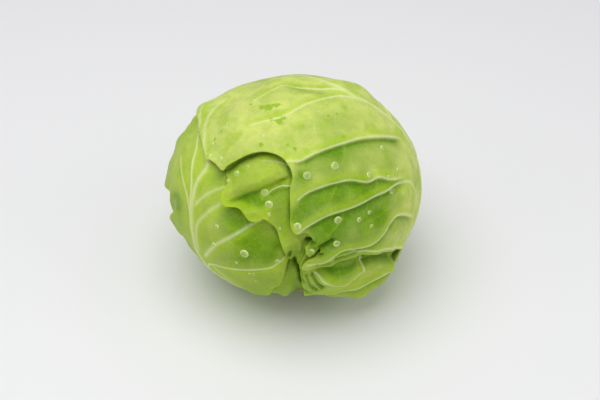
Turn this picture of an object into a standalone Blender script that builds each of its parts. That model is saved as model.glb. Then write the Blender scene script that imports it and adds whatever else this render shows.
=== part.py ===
"""Round-headed cabbage, as picked: a dense head on a cut stalk, wrapped in seven broad leaves.

The head is modelled upright, stalk axis along Z, the side that shows best towards -Y, then leant back
and set down on a small flat spot. A place on the head is two angles in degrees: turn, round the
stalk's axis from the front, and rise, from the equator towards the top (90) or the stalk (-90).
"""
import math

import bmesh
import bpy
import numpy as np
from mathutils import Vector
from mathutils.geometry import delaunay_2d_cdt

# The whole head, metres and degrees
HALF_WIDTH = 0.0890
HALF_HEIGHT = 0.0780
LEAN = 38.0
REST_CUT = 0.0030
REST_BLEND = 0.0008
FACING_DOWN = 0.2
MEAN_RADIUS = 0.0850

# Leaves, one over the other
BLADE = 0.0011
LAYER = 0.0028
MARGIN_REACH = 0.009
LAYER_RAMP = 0.016
CURL_WIDTH = 0.008
WAVE_LENGTH = 0.017
MARGIN_SPACING = 0.0064
RIB_SPACING = 0.0060
RIB_FLANK = 0.0045
RIB_TAPER = 0.6
RIB_PRESSED = 0.35
STEADY_WIDTH = 0.6
FILL_SPACING = 0.0088
CLEARANCE = 0.0040
MARGIN_CLEARANCE = 0.0032
CURVE_STEPS = 16
LEAF_ROUGHNESS = 0.42

# Head inside the leaves, and the stump under it
HEAD_GAP = 0.0010
HEAD_SUBDIVISIONS = 4
SOCKET_DEPTH = 0.0050
SOCKET_RADIUS = 0.0160
STALK_RADIUS = 0.0115
STALK_RECESS = 0.0030
STALK_BEVEL = 0.0015
STALK_BERTH = 0.0120
STALK_SIDES = 32
HEAD_ROUGHNESS = 0.45
STALK_ROUGHNESS = 0.60

# Swells (+) and hollows (-) of the whole head: route in turn and rise, height and half width in metres
SWELL_SPACING = 0.0060
SWELLS = [
    ([(45, 55), (60, 54)], 0.0042, 0.014),
    ([(-12, 66), (14, 65)], 0.0012, 0.012),
    ([(-60, 72), (-42, 54), (-50, 44)], -0.0030, 0.014),
    ([(-76, 38), (-68, 38)], 0.0048, 0.011),
    ([(80, -41), (78, -48), (74, -56)], 0.0100, 0.011),
    ([(69, -63), (58, -67)], 0.0030, 0.008),
    ([(-56, -66), (-30, -68)], 0.0022, 0.012),
    ([(-22, -3), (-12, -3)], -0.0042, 0.009),
    ([(-24, -14), (-16, -20)], -0.0030, 0.010),
    ([(8, -30), (20, -32)], -0.0030, 0.011),
    ([(0, -87), (180, -87)], -0.0030, 0.011),
]


def heading(turn, rise):
    """Unit vector of a place on the head."""
    turn, rise = np.radians(turn), np.radians(rise)
    return np.stack([np.cos(rise) * np.sin(turn), -np.cos(rise) * np.cos(turn), np.sin(rise)], -1)


def curve(points, spacing, closed=False):
    """Smooth line over the head through a few places, with even steps. Extra columns follow along."""
    rows = np.array(points, float)
    keys = np.hstack([heading(rows[:, 0], rows[:, 1]), rows[:, 2:]])
    count = len(keys)
    spans = count if closed else count - 1
    share = np.linspace(0, 1, CURVE_STEPS, endpoint=False)[:, None]
    pieces = []
    for i in range(spans):
        near = [(i + k) % count if closed else min(max(i + k, 0), count - 1) for k in (-1, 0, 1, 2)]
        a, b, c, d = keys[near]
        pieces.append(0.5 * (2 * b + (c - a) * share + (2 * a - 5 * b + 4 * c - d) * share ** 2
                             + (3 * b - a - 3 * c + d) * share ** 3))
    pieces.append(keys[:1] if closed else keys[-1:])
    line = np.vstack(pieces)
    line[:, :3] /= np.linalg.norm(line[:, :3], axis=1, keepdims=True)
    along = np.append(0, np.cumsum(np.linalg.norm(np.diff(line[:, :3], axis=0), axis=1))) * MEAN_RADIUS
    steps = max(2, round(along[-1] / spacing))
    at = np.linspace(0, along[-1], steps + 1)
    even = np.stack([np.interp(at, along, column) for column in line.T], -1)
    even[:, :3] /= np.linalg.norm(even[:, :3], axis=1, keepdims=True)
    return even[:-1] if closed else even


def reach(places, line):
    """Distance in metres from each place to a line over the head, and how far along the line that is."""
    start, step = line[:-1, :3], np.diff(line[:, :3], axis=0)
    offset = places[:, None, :] - start[None]
    share = np.clip((offset * step).sum(-1) / (step ** 2).sum(-1), 0, 1)
    away = np.linalg.norm(offset - share[..., None] * step, axis=-1)
    best = away.argmin(1)
    row = np.arange(len(places))
    return away[row, best] * MEAN_RADIUS, (best + share[row, best]) / len(step)


def ridge(places, line, height, half_width, fade=0.0):
    """Rounded ridge along a line, which may thin towards its far end."""
    away, along = reach(places, line)
    thin = 1 - fade * along
    width = half_width * (STEADY_WIDTH + (1 - STEADY_WIDTH) * thin)
    return height * thin * np.exp(-(away / width) ** 2)


def plain_radius(places):
    """Distance from the head's middle to its plain, flattened surface."""
    squashed = places / np.array([HALF_WIDTH, HALF_WIDTH, HALF_HEIGHT])
    radius = 1 / np.linalg.norm(squashed, axis=1)
    for route, height, half_width in SWELLS:
        radius = radius + ridge(places, curve(route, SWELL_SPACING), height, half_width)
    return radius


# Straight down as the leaning head sees it, and its lowest point before the flat spot is pressed in
LEAN_SIN, LEAN_COS = math.sin(math.radians(LEAN)), math.cos(math.radians(LEAN))
DOWN = np.array([0, LEAN_SIN, -LEAN_COS])
LOWEST = math.hypot(HALF_WIDTH * LEAN_SIN, HALF_HEIGHT * LEAN_COS)
LOWEST_BACK = (HALF_WIDTH ** 2 - HALF_HEIGHT ** 2) * LEAN_SIN * LEAN_COS / LOWEST
REST_DEPTH = LOWEST - REST_CUT


def rest_limit(places):
    """Distance to the plane that the head rests on, far away where a place looks upwards."""
    sink = places @ DOWN
    return np.where(sink > FACING_DOWN, REST_DEPTH / np.maximum(sink, FACING_DOWN), 1.0)


def surface(places):
    """Middle of the outermost blade, before ribs and curls, with the flat spot pressed in."""
    radius, limit = plain_radius(places), rest_limit(places)
    return -REST_BLEND * np.logaddexp(-radius / REST_BLEND, -limit / REST_BLEND)


class Leaf:
    """One leaf: its outline, ribs and folds, and the map in which its mesh is laid out."""

    def __init__(self, name, colour, middle, outline, ribs, folds=(), wave=0.0006):
        self.name, self.colour, self.wave = name, colour, wave
        self.middle = heading(*middle)
        self.east = np.cross([0, 0, 1], self.middle)
        self.east /= np.linalg.norm(self.east)
        self.north = np.cross(self.middle, self.east)
        self.margin = curve(outline, MARGIN_SPACING, closed=True)
        self.ribs = [(curve(route, RIB_SPACING), height, half_width) for route, height, half_width in ribs]
        self.folds = [(curve(route, RIB_SPACING), height, half_width) for route, height, half_width in folds]

    def to_map(self, places):
        """Flat map around the leaf's middle, metres, true in distance from the middle."""
        angle = np.arccos(np.clip(places @ self.middle, -1, 1))
        flat = np.stack([places @ self.east, places @ self.north], -1)
        length = np.maximum(np.linalg.norm(flat, axis=1), 1e-9)
        return flat * (angle / length * MEAN_RADIUS)[:, None]

    def from_map(self, flat):
        angle = np.linalg.norm(flat, axis=1) / MEAN_RADIUS
        side = flat / np.maximum(np.linalg.norm(flat, axis=1), 1e-9)[:, None]
        tangent = side[:, :1] * self.east + side[:, 1:] * self.north
        return np.cos(angle)[:, None] * self.middle + np.sin(angle)[:, None] * tangent

    def inside(self, places):
        """Signed distance to the margin in metres, positive on the leaf, and where along the margin."""
        loop = np.vstack([self.margin, self.margin[:1]])
        away, along = reach(places, loop)
        flat, corners = self.to_map(places), self.to_map(loop[:, :3])
        x, y = flat[:, :1], flat[:, 1:]
        x0, y0, x1, y1 = corners[:-1, 0], corners[:-1, 1], corners[1:, 0], corners[1:, 1]
        crosses = (y0 > y) != (y1 > y)
        level = np.where(y1 == y0, 1e-12, y1 - y0)
        odd = (crosses & (x < x0 + (y - y0) / level * (x1 - x0))).sum(1) % 2 == 1
        return np.where(odd, away, -away), along

    def cover(self, places):
        """1 where this leaf lies over what is under it, easing to 0 a little way past its margin."""
        signed, _ = self.inside(places)
        ease = np.clip((signed + MARGIN_REACH + LAYER_RAMP) / LAYER_RAMP, 0, 1)
        return ease * ease * (3 - 2 * ease)

    def curl(self, places):
        """How far the margin lifts and waves, fading into the blade."""
        signed, along = self.inside(places)
        loop = np.vstack([self.margin, self.margin[:1]])
        lift = np.interp(along * len(self.margin), np.arange(len(loop)), loop[:, 3])
        length = len(self.margin) * MARGIN_SPACING
        waves = self.wave * np.sin(2 * math.pi * round(length / WAVE_LENGTH) * along)
        return (lift + waves) * np.exp(-np.maximum(signed, 0) / CURL_WIDTH)

    def layout(self):
        """Places for the mesh: the margin, the ribs with a point on either flank, and an even fill."""
        margin = self.to_map(self.margin[:, :3])
        wanted = []
        for line, height, half_width in self.ribs + self.folds:
            crest = self.to_map(line[:, :3])
            along = np.gradient(crest, axis=0)
            across = np.stack([-along[:, 1], along[:, 0]], -1) / np.linalg.norm(along, axis=1)[:, None]
            flank = max(RIB_FLANK, half_width)
            wanted += [crest, crest + across * flank, crest - across * flank]
        low, high = margin.min(0), margin.max(0)
        rows = np.arange(low[1], high[1], FILL_SPACING * math.sin(math.pi / 3))
        for k, y in enumerate(rows):
            x = np.arange(low[0] + (k % 2) * FILL_SPACING / 2, high[0], FILL_SPACING)
            wanted.append(np.stack([x, np.full_like(x, y)], -1))
        kept = margin
        for group in wanted:
            signed, _ = self.inside(self.from_map(group))
            for point in group[signed > MARGIN_CLEARANCE]:
                if np.min(np.linalg.norm(kept - point, axis=1)) > CLEARANCE:
                    kept = np.vstack([kept, point])
        return kept, len(margin)

    def shape(self, places, over):
        """Outer and inner radius of the blade, with the leaves that lie over it given."""
        covers = [leaf.cover(places) for leaf in over]
        free = np.prod([1 - c for c in covers], axis=0) if covers else np.ones(len(places))
        middle = surface(places) - LAYER * sum(covers, np.zeros(len(places)))
        middle = middle + free * self.curl(places)
        for line, height, half_width in self.folds:
            middle = middle + free * ridge(places, line, height, half_width)
        raised = np.zeros(len(places))
        for line, height, half_width in self.ribs:
            raised = np.maximum(raised, ridge(places, line, height, half_width, RIB_TAPER))
        limit = rest_limit(places)
        outer = np.minimum(middle + BLADE / 2 + raised * (RIB_PRESSED + (1 - RIB_PRESSED) * free), limit)
        return outer, np.minimum(middle + BLADE / 2, limit) - BLADE

    def build(self, over, holder):
        flat, rim = self.layout()
        loop = [list(range(rim))]
        found = delaunay_2d_cdt([Vector(p) for p in flat], [], loop, 1, 1e-7)
        points, triangles = found[0], found[2]
        places = self.from_map(np.array([tuple(p) for p in points]))
        outer, inner = self.shape(places, over)
        mesh = bmesh.new()
        top = [mesh.verts.new(p) for p in places * outer[:, None]]
        under = [mesh.verts.new(p) for p in places * inner[:, None]]
        for a, b, c in triangles:
            mesh.faces.new((top[a], top[b], top[c]))
            mesh.faces.new((under[c], under[b], under[a]))
        twin = dict(zip(top, under))
        for edge in [e for e in mesh.edges if e.is_boundary and e.verts[0] in twin]:
            a, b = edge.verts
            for corners in ((a, twin[a], twin[b]), (a, twin[b], b)):
                mesh.faces.new(corners)
        bmesh.ops.recalc_face_normals(mesh, faces=mesh.faces)
        place_object(self.name, mesh, self.colour, LEAF_ROUGHNESS, holder)


def place_object(name, mesh, colour, roughness, holder):
    """Turn a bmesh into a named object with its own material, held by the leaning empty."""
    data = bpy.data.meshes.new(name)
    mesh.to_mesh(data)
    mesh.free()
    data.shade_smooth()
    material = bpy.data.materials.new(name)
    material.use_nodes = True
    shader = material.node_tree.nodes["Principled BSDF"]
    shader.inputs["Base Color"].default_value = (*colour, 1)
    shader.inputs["Roughness"].default_value = roughness
    shader.inputs["Metallic"].default_value = 0
    data.materials.append(material)
    thing = bpy.data.objects.new(name, data)
    bpy.context.collection.objects.link(thing)
    thing.parent = holder
    return thing


# Leaves from the outermost to the innermost. Outlines: turn, rise, lift of the margin in metres.
# Ribs and folds: route, height and half width in metres.
LEAVES = [
    Leaf("leaf_over_top", (0.50, 0.62, 0.13), (60, 22), [
        (-42, 13, 0.0010), (-37, 11, 0.0012), (-32, 8, 0.0016), (-29, 10, 0.0018), (-24, 13, 0.0020),
        (-19, 15, 0.0022), (-14, 16, 0.0024), (-9, 15, 0.0024), (-4, 12, 0.0022), (-1, 5, 0.0018),
        (-2, -4, 0.0020), (-2, -14, 0.0022), (1, -18, 0.0024), (6, -21, 0.0018), (7, -28, 0.0022),
        (5, -35, 0.0020), (10, -39, 0.0018), (20, -38, 0.0012), (33, -32, 0.0014), (45, -31, 0.0020),
        (60, -31, 0.0016), (72, -30, 0.0014), (81, -31, 0.0006), (87, -39, 0), (89, -50, 0), (91, -62, 0),
        (94, -72, 0), (102, -77, 0), (110, -72, 0), (114, -58, 0), (124, -38, 0.0006),
        (142, -24, 0.0008), (162, -12, 0.0008), (175, 5, 0.0008), (178, 26, 0.0008), (172, 48, 0.0008),
        (-170, 66, 0.0008), (-125, 62, 0.0008), (-92, 50, 0.0008), (-72, 38, 0.0006),
        (-57, 27, 0.0006), (-47, 19, 0.0008)], [
        ([(100, -74), (93, -52), (85, -32), (79, -16), (73, 3), (67, 20), (62, 31), (53, 41), (36, 50),
          (18, 66), (-40, 74)], 0.0022, 0.0050),
        ([(46, 42), (34, 46), (20, 54), (5, 57), (-6, 60), (-22, 57), (-40, 50)], 0.0012, 0.0028),
        ([(50, 40), (34, 45), (20, 45), (12, 42), (3, 37), (-6, 33), (-24, 27)], 0.0012, 0.0026),
        ([(64, 22), (50, 23), (41, 23), (31, 22), (23, 20), (8, 15), (-1, 12)], 0.0020, 0.0030),
        ([(71, 8), (58, 6), (46, 4), (38, 5), (32, 3), (24, 4), (10, 1), (2, -3)], 0.0017, 0.0028),
        ([(74, -2), (62, 1), (51, 2), (43, -1), (29, -6), (16, -10), (4, -16)], 0.0019, 0.0030),
        ([(80, -14), (71, -13), (54, -13), (48, -15), (44, -22), (38, -26), (26, -28), (22, -32),
          (12, -36)], 0.0024, 0.0034),
        ([(86, -30), (108, -22), (132, -8)], 0.0015, 0.0032),
        ([(79, -10), (104, 4), (134, 14), (160, 20)], 0.0015, 0.0032),
        ([(72, 8), (96, 26), (126, 36), (156, 40)], 0.0014, 0.0030),
        ([(62, 28), (86, 46), (122, 57), (165, 60)], 0.0012, 0.0028)],
        [([(-1, 12), (12, 14), (24, 18)], 0.0010, 0.0070)]),
    Leaf("leaf_low_right", (0.36, 0.48, 0.08), (62, -52), [
        (3, -36, 0.0012), (10, -29, 0), (28, -26, 0), (50, -25, 0), (68, -23, 0), (82, -27, 0),
        (80, -36, 0.0010), (78, -44, 0.0018), (75, -52, 0.0020), (71, -60, 0.0018), (65, -67, 0.0014),
        (52, -73, 0.0008), (36, -74, 0.0004), (18, -69, 0.0008), (8, -58, 0.0014), (4, -49, 0.0014),
        (3, -42, 0.0014)], [
        ([(40, -70), (52, -64), (62, -55), (68, -44), (72, -33)], 0.0012, 0.0030),
        ([(10, -44), (20, -48), (30, -51), (42, -53), (54, -51), (52, -44)], 0.0016, 0.0026),
        ([(58, -62), (46, -59), (32, -57)], 0.0012, 0.0026)],
        [([(46, -38), (60, -35), (74, -34)], 0.0018, 0.0045),
         ([(20, -48), (30, -52), (44, -54)], 0.0016, 0.0050),
         ([(24, -62), (44, -64), (62, -60)], 0.0018, 0.0050)], 0.0006),
    Leaf("leaf_under_margin", (0.42, 0.55, 0.10), (4, -24), [
        (-32, 8, 0.0010), (-31, 0, 0.0026), (-28, -6, 0.0034), (-22, -10, 0.0032), (-16, -13, 0.0026),
        (-9, -16, 0.0018), (-7, -22, 0.0014), (-5, -28, 0.0012), (-4, -34, 0.0008),
        (4, -42, 0), (12, -60, 0), (20, -76, 0), (40, -76, 0), (44, -55, 0), (42, -30, 0), (38, 0, 0),
        (28, 20, 0), (10, 28, 0), (-10, 28, 0), (-22, 24, 0), (-29, 16, 0)], [
        ([(30, -74), (28, -50), (22, -25), (14, 0), (4, 16)], 0.0014, 0.0030)],
        [([(-3, 9), (-10, 5), (-15, 2), (-20, 0), (-27, -1)], 0.0024, 0.0045),
         ([(-6, -8), (-12, -8), (-21, -9)], 0.0018, 0.0045),
         ([(-4, -14), (-5, -26)], 0.0012, 0.0050)]),
    Leaf("leaf_left", (0.40, 0.52, 0.12), (-52, -18), [
        (-66, 38, 0), (-52, 31, 0), (-40, 24, 0), (-28, 12, 0), (-18, 2, 0), (-9, -8, 0), (-2, -18, 0),
        (1, -26, 0), (0, -32, 0.0012), (-4, -38, 0.0014), (-8, -46, 0.0016), (-16, -54, 0.0014),
        (-31, -65, 0), (-50, -71, 0), (-70, -77, 0), (-92, -76, 0), (-88, -60, 0), (-82, -48, 0.0004),
        (-75, -36, 0.0006), (-67, -26, 0.0006), (-77, -20, 0.0018), (-83, -16, 0.0024),
        (-80, -12, 0.0020), (-71, -7, 0.0008), (-79, -1, 0.0020), (-84, 4, 0.0022), (-82, 14, 0.0012),
        (-77, 28, 0.0006)], [
        ([(-82, -74), (-76, -56), (-68, -38), (-56, -22), (-51, -10), (-47, -2), (-43, 6), (-43, 14),
          (-50, 26)], 0.0026, 0.0050),
        ([(-55, -24), (-50, -20), (-43, -14), (-36, -9), (-29, -4)], 0.0013, 0.0026),
        ([(-62, -34), (-52, -31), (-39, -26), (-28, -20), (-13, -12)], 0.0019, 0.0030),
        ([(-74, -46), (-65, -43), (-45, -43), (-29, -42), (-17, -40), (-7, -36)], 0.0017, 0.0028),
        ([(-60, -26), (-57, -14), (-56, -4), (-57, 4), (-64, 14)], 0.0016, 0.0026),
        ([(-50, -6), (-49, 4), (-51, 13), (-58, 24)], 0.0015, 0.0026)], (), 0.0006),
    Leaf("leaf_back_left", (0.38, 0.50, 0.12), (-120, 6), [
        (-60, 12, 0), (-62, 30, 0), (-72, 48, 0), (-104, 64, 0), (-160, 70, 0), (158, 60, 0),
        (150, 38, 0), (156, 14, 0), (174, -6, 0.0010), (-166, -18, 0.0014), (-146, -26, 0.0014),
        (-130, -42, 0.0012), (-120, -60, 0.0006), (-112, -76, 0), (-92, -76, 0), (-78, -62, 0),
        (-68, -40, 0), (-63, -12, 0)], [
        ([(-102, -74), (-106, -50), (-112, -25), (-118, 0), (-126, 30), (-140, 54)], 0.0024, 0.0046),
        ([(-109, -38), (-92, -26), (-78, -18)], 0.0014, 0.0030),
        ([(-113, -20), (-95, -2), (-80, 12)], 0.0014, 0.0030),
        ([(-119, 4), (-100, 24), (-84, 40)], 0.0013, 0.0030),
        ([(-110, -34), (-126, -24), (-142, -16)], 0.0014, 0.0030),
        ([(-116, -8), (-136, 2), (-160, 6)], 0.0014, 0.0030),
        ([(-123, 20), (-146, 30), (-176, 34)], 0.0013, 0.0030)]),
    Leaf("leaf_low_front", (0.37, 0.50, 0.09), (-18, -52), [
        (-58, -34, 0), (-40, -26, 0), (-20, -20, 0), (-4, -20, 0), (14, -26, 0), (28, -38, 0),
        (34, -58, 0), (22, -76, 0), (-6, -76, 0.0004), (-34, -76, 0.0004), (-62, -70, 0), (-66, -52, 0)], [
        ([(-14, -76), (-9, -62), (-6, -50), (-4, -38)], 0.0012, 0.0026),
        ([(-10, -66), (-24, -54), (-42, -44)], 0.0010, 0.0026),
        ([(-6, -60), (8, -52), (22, -44)], 0.0010, 0.0026)],
        [([(-4, -36), (-2, -44), (-6, -56)], 0.0018, 0.0040)]),
    Leaf("leaf_low_back", (0.36, 0.48, 0.11), (178, -32), [
        (50, -68, 0), (60, -58, 0), (66, -46, 0), (72, -32, 0), (84, -20, 0), (98, -6, 0), (116, 8, 0),
        (146, 20, 0), (178, 22, 0), (-158, 16, 0), (-130, 6, 0), (-108, -10, 0), (-94, -32, 0),
        (-90, -56, 0), (-104, -76, 0), (-140, -76, 0), (180, -76, 0), (140, -76, 0), (100, -76, 0),
        (66, -76, 0)], [
        ([(180, -76), (180, -40), (178, -20), (176, 6)], 0.0020, 0.0046),
        ([(180, -26), (158, -14), (138, 0)], 0.0014, 0.0030),
        ([(180, -22), (-160, -12), (-140, -4)], 0.0014, 0.0030),
        ([(170, -70), (130, -56), (108, -36)], 0.0014, 0.0030),
        ([(-170, -70), (-132, -60), (-110, -44)], 0.0014, 0.0030)]),
]


def build_head(holder):
    """The packed inner leaves, grown tight as one dense ball."""
    mesh = bmesh.new()
    bmesh.ops.create_icosphere(mesh, subdivisions=HEAD_SUBDIVISIONS, radius=1)
    places = np.array([v.co.normalized() for v in mesh.verts])
    depth = LAYER * sum(leaf.cover(places) for leaf in LEAVES)
    off_axis = np.hypot(places[:, 0], places[:, 1]) * MEAN_RADIUS
    below = places[:, 2] < 0
    socket = np.where(below, SOCKET_DEPTH * np.exp(-(off_axis / SOCKET_RADIUS) ** 2), 0)
    radius = surface(places) - depth - HEAD_GAP - socket
    for vert, place, length in zip(mesh.verts, places, radius):
        vert.co = place * length
    under_stalk = below & (off_axis < STALK_RADIUS + STALK_BERTH)
    lowest = (places[:, 2] * radius)[under_stalk].min()
    place_object("head", mesh, (0.62, 0.68, 0.28), HEAD_ROUGHNESS, holder)
    return lowest


def build_stalk(holder, head_bottom):
    """The stump left by the knife, its cut face bevelled at the rim."""
    top, face = head_bottom - HEAD_GAP, STALK_RECESS - HALF_HEIGHT
    mesh = bmesh.new()
    bmesh.ops.create_cone(mesh, cap_ends=True, segments=STALK_SIDES, radius1=STALK_RADIUS,
                          radius2=STALK_RADIUS, depth=top - face)
    rim = [e for e in mesh.edges if all(v.co.z < 0 for v in e.verts)]
    bmesh.ops.bevel(mesh, geom=rim, offset=STALK_BEVEL, segments=2, affect="EDGES")
    stalk = place_object("stalk", mesh, (0.66, 0.62, 0.40), STALK_ROUGHNESS, holder)
    stalk.location.z = (top + face) / 2


def main():
    for thing in list(bpy.data.objects):
        bpy.data.objects.remove(thing)
    holder = bpy.data.objects.new("cabbage", None)
    bpy.context.collection.objects.link(holder)
    holder.location = (0, -LOWEST_BACK, REST_DEPTH)
    holder.rotation_euler.x = -math.radians(LEAN)
    for k, leaf in enumerate(LEAVES):
        leaf.build(LEAVES[:k], holder)
    build_stalk(holder, build_head(holder))


main()
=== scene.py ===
import math
import random

import bpy
import numpy as np
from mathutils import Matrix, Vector
from mathutils.geometry import delaunay_2d_cdt


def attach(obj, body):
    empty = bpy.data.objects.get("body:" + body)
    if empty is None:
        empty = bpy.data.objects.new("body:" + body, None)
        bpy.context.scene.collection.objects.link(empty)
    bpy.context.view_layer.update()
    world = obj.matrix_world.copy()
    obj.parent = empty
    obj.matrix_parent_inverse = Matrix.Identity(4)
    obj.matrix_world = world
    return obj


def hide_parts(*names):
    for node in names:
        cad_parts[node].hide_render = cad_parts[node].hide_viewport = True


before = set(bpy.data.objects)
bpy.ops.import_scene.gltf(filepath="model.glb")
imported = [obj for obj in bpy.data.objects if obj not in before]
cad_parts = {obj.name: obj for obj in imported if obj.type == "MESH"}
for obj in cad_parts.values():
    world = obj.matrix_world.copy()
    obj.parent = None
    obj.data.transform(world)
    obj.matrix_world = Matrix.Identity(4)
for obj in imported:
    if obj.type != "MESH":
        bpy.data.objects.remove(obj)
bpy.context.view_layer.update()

# The stalk: the stump that every leaf grows from, cut short by the knife, its face fibrous. Its fibres are
# a darker green than a fresh cut, partly painted shade, so that it merges with the shaded leaves below.
# It is the modelled node itself, with a better material.
STALK_DARK, STALK_PALE, FIBRE_SCALE = (0.26, 0.32, 0.06, 1), (0.46, 0.52, 0.18, 1), 300.0
stalk_skin = bpy.data.materials.new("stalk")
stalk_skin.use_nodes = True
stalk_nodes, stalk_links = stalk_skin.node_tree.nodes, stalk_skin.node_tree.links
fibres = stalk_nodes.new("ShaderNodeTexNoise")
fibres.inputs["Scale"].default_value = FIBRE_SCALE
fibre_colour = stalk_nodes.new("ShaderNodeValToRGB")
fibre_colour.color_ramp.elements[0].color = STALK_DARK
fibre_colour.color_ramp.elements[1].color = STALK_PALE
stalk_links.new(fibres.outputs["Fac"], fibre_colour.inputs["Fac"])
stalk_links.new(fibre_colour.outputs["Color"], stalk_nodes["Principled BSDF"].inputs["Base Color"])
stalk_nodes["Principled BSDF"].inputs["Roughness"].default_value = 0.7
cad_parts["stalk"].data.materials.clear()
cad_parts["stalk"].data.materials.append(stalk_skin)


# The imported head: pale inner leaves grown tight round the stalk as one ball, which shows only in the
# gaps between the outer leaves. It is the modelled node itself, with the outer leaves' kind of skin.
GREEN, RIB = (0.145, 0.31, 0.002, 1), (0.80, 0.87, 0.45, 1)
INNER_PALE, INNER_GREEN = (0.62, 0.68, 0.24, 1), (0.45, 0.56, 0.12, 1)


def leaf_skin(name, pale, green, rib_colour, roughness):
    """Waxy leaf: green panels between pale ribs and veins, grey bloom in clouds, a net of fine cells,
    and painted shade in the hollows, below the ribs and along the creases.
    """
    material = bpy.data.materials.new(name)
    material.use_nodes = True
    nodes, links = material.node_tree.nodes, material.node_tree.links
    shader = nodes["Principled BSDF"]

    def mask(label):
        node = nodes.new("ShaderNodeAttribute")
        node.attribute_name = label
        return node.outputs["Fac"]

    def blend(factor, first, second):
        node = nodes.new("ShaderNodeMix")
        node.data_type = "RGBA"
        sockets = node.inputs["Factor"], node.inputs[6], node.inputs[7]
        for socket, value in zip(sockets, (factor, first, second)):
            if isinstance(value, (float, tuple)):
                socket.default_value = value
            else:
                links.new(value, socket)
        return node.outputs[2]

    def worked(operation, first, second):
        node = nodes.new("ShaderNodeMath")
        node.operation = operation
        node.use_clamp = operation != "SUBTRACT"
        for socket, value in zip(node.inputs, (first, second)):
            if isinstance(value, float):
                socket.default_value = value
            else:
                links.new(value, socket)
        return node.outputs[0]

    def spread(value, low, high):
        node = nodes.new("ShaderNodeMapRange")
        node.interpolation_type = "SMOOTHSTEP"
        links.new(value, node.inputs["Value"])
        node.inputs["From Min"].default_value = low
        node.inputs["From Max"].default_value = high
        return node.outputs["Result"]

    place = nodes.new("ShaderNodeNewGeometry").outputs["Position"]

    def noise(scale, detail):
        node = nodes.new("ShaderNodeTexNoise")
        links.new(place, node.inputs["Vector"])
        node.inputs["Scale"].default_value = scale
        node.inputs["Detail"].default_value = detail
        return node

    def cells(scale, warp):
        shift = nodes.new("ShaderNodeVectorMath")
        shift.operation = "MULTIPLY_ADD"
        links.new(noise(scale * 0.8, 1.0).outputs["Color"], shift.inputs[0])
        shift.inputs[1].default_value = (warp, warp, warp)
        links.new(place, shift.inputs[2])
        node = nodes.new("ShaderNodeTexVoronoi")
        node.feature = "DISTANCE_TO_EDGE"
        node.inputs["Scale"].default_value = scale
        links.new(shift.outputs[0], node.inputs["Vector"])
        return node.outputs["Distance"]

    clouds = noise(34.0, 3.0).outputs["Fac"]
    bloom = spread(noise(26.0, 4.0).outputs["Fac"], 0.46, 0.66)
    blotch = spread(noise(75.0, 4.0).outputs["Fac"], 0.49, 0.66)
    mottle = spread(noise(120.0, 4.0).outputs["Fac"], 0.42, 0.70)
    specks = noise(420.0, 2.0).outputs["Fac"]
    net = spread(cells(150.0, 0.004), 0.10, 0.0)
    fine_net = spread(cells(420.0, 0.0015), 0.12, 0.0)
    # Green share: greener in the panels and in the darker places, which are partly the leaf's own tone,
    # partly painted shade; the paler places are partly painted sheen.
    amount = worked("ADD", worked("MULTIPLY", mask("panel"), 0.35), mask("tone_and_painted_light"))
    amount = worked("ADD", amount, worked("MULTIPLY", worked("SUBTRACT", clouds, 0.5), 1.1))
    damp = worked("ADD", mask("wet"), worked("SUBTRACT", noise(300.0, 2.0).outputs["Fac"], 0.62))
    cell_colour, speck_colour = (0.60, 0.72, 0.12, 1), tuple(0.5 * c for c in green[:3]) + (1.0,)
    colour = blend(amount, pale, green)
    for part, strength, tint in ((bloom, 0.26, (0.46, 0.58, 0.18, 1)),
                                 (mottle, 0.26, (0.24, 0.40, 0.05, 1)),
                                 (blotch, 0.42, (0.30, 0.52, 0.004, 1)),
                                 # painted shade: darker green in the hollows and just below the ribs
                                 (mask("painted_hollow_shade"), 0.9, (0.09, 0.25, 0.0005, 1)),
                                 # painted shade along the creases that the margins above press in
                                 (mask("painted_crevice_shade"), 0.8, (0.05, 0.14, 0.0005, 1)),
                                 (spread(damp, 0.25, 0.45), 0.75, (0.26, 0.48, 0.002, 1)),
                                 (mask("lime"), 0.45, (0.44, 0.65, 0.008, 1)),
                                 (net, 0.10, cell_colour), (fine_net, 0.08, cell_colour),
                                 (specks, 0.14, speck_colour), (mask("vein"), 0.20, cell_colour)):
        colour = blend(worked("MULTIPLY", part, strength), colour, tint)
    colour = blend(mask("rib"), colour, rib_colour)
    colour = blend(worked("MULTIPLY", mask("edge"), 0.45), colour, (0.50, 0.66, 0.05, 1))
    links.new(colour, shader.inputs["Base Color"])
    shader.inputs["Roughness"].default_value = roughness
    shader.inputs["Specular IOR Level"].default_value = 0.08
    shader.inputs["Subsurface Weight"].default_value = 0.25
    shader.inputs["Subsurface Radius"].default_value = (0.5, 1.0, 0.15)
    shader.inputs["Subsurface Scale"].default_value = 0.0018
    ripple = noise(95.0, 4.0).outputs["Fac"]
    height = worked("MULTIPLY", ripple, 0.55)
    for part, strength in ((net, 0.08), (fine_net, 0.07), (specks, 0.08)):
        height = worked("ADD", height, worked("MULTIPLY", part, strength))
    bump = nodes.new("ShaderNodeBump")
    bump.inputs["Strength"].default_value = 0.8
    bump.inputs["Distance"].default_value = 0.0016
    links.new(height, bump.inputs["Height"])
    links.new(bump.outputs["Normal"], shader.inputs["Normal"])
    return material


head_skin = leaf_skin("inner_leaf", INNER_PALE, INNER_GREEN, RIB, 0.5)
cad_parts["head"].data.materials.clear()
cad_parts["head"].data.materials.append(head_skin)


# The leaf over the top: the outermost one, broad and pale, grown from the stalk up the right side and
# over the crown. Its margin curls up where it crosses the front and is gathered low down, its ribs stand
# out of the blade, and the blade is sunk below each rib; those hollows press the leaves beneath as well.

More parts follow.
